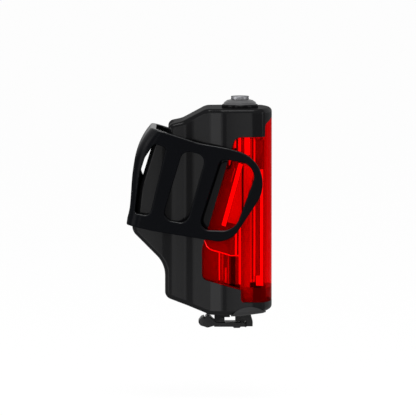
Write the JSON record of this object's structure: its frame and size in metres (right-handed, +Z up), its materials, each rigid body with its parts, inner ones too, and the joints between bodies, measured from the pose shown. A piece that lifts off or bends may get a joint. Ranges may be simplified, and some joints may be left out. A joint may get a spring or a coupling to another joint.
{
  "type": "bicycle rear light",
  "caption": "Upright strap-on bicycle rear light: black wedge housing with a wrap-round red lens, a rubber ladder strap on a saddle back, a top push button and a covered charging socket.",
  "frame": {"origin": "middle of the saddle pad's rubber face, where the seatpost lies against the light", "axes": "+Z up, +X towards the rear lens, -Y towards the side where the strap hooks on; the seatpost axis leans 17.5 degrees from +Z towards +X"},
  "size_m": [0.0497, 0.0323, 0.0792],
  "materials": {
    "housing_black": "satin",
    "lens_red": "clear red polycarbonate",
    "rubber_black": "matte",
    "rubber_grey": "matte, slightly grainy",
    "rubber_clear_grey": "translucent grey",
    "cap_silver": "metallised, satin",
    "white_plastic": "satin",
    "black_plastic": "matte",
    "clear_optic": "clear polycarbonate",
    "board_green": "solder mask",
    "led_yellow": "encapsulated",
    "aluminium": "mill",
    "steel": "plated",
    "nickel": "nickel strip",
    "chip_black": "matte epoxy",
    "ferrite": "ferrite",
    "cell_can": "can",
    "sleeve_blue": "shrink sleeve"
  },
  "bodies": {
    "body": {"battery_cell": "cell_can", "battery_sleeve": "sleeve_blue", "battery_strip_minus": "nickel", "battery_strip_plus": "nickel", "battery_tray": "black_plastic", "bezel_screws": "steel", "board_link_pins": "steel", "board_spacers": "aluminium", "button_boot": "rubber_clear_grey", "capacitors": "led_yellow", "charge_chip": "chip_black", "chin_bumper": "rubber_grey", "control_board": "board_green", "control_chip": "chip_black", "cover_anchor": "rubber_black", "driver_inductor": "ferrite", "heat_spreader": "aluminium", "led_1": "led_yellow", "led_2": "led_yellow", "led_3": "led_yellow", "led_4": "led_yellow", "led_5": "led_yellow", "led_6": "led_yellow", "led_board": "board_green", "lens": "lens_red", "lens_gasket": "rubber_black", "optic_strip": "clear_optic", "rear_housing": "housing_black", "reflector_bezel": "white_plastic", "saddle_pad": "rubber_black", "side_guide_far": "white_plastic", "side_guide_near": "white_plastic", "strap_pin": "steel", "switch_base": "black_plastic", "switch_board": "board_green", "switch_flex": "nickel", "switch_screws": "steel", "usb_shell": "steel", "usb_tongue": "black_plastic"},
    "strap": {"strap": "rubber_black"},
    "port_cover": {"port_cover": "rubber_black"},
    "power_button": {"button_cap": "cap_silver", "button_stem": "black_plastic", "switch_plunger": "black_plastic"}
  },
  "joints": [
    {"name": "strap_pivot", "type": "hinge", "parent": "body", "child": "strap", "pos_m": [0.00429, 0.0147, -0.00135], "axis": [-0.3007, 0, -0.9537], "range_deg": [0, 70]},
    {"name": "cover_hinge", "type": "hinge", "parent": "body", "child": "port_cover", "pos_m": [0.03055, 0, -0.05325], "axis": [0, -1, 0], "range_deg": [0, 95]},
    {"name": "button_press", "type": "slide", "parent": "body", "child": "power_button", "axis": [0, 0, -1], "range_m": [0, 0.0005], "stiffness_N_per_m": 2000, "deforming": ["button_boot"]}
  ]
}
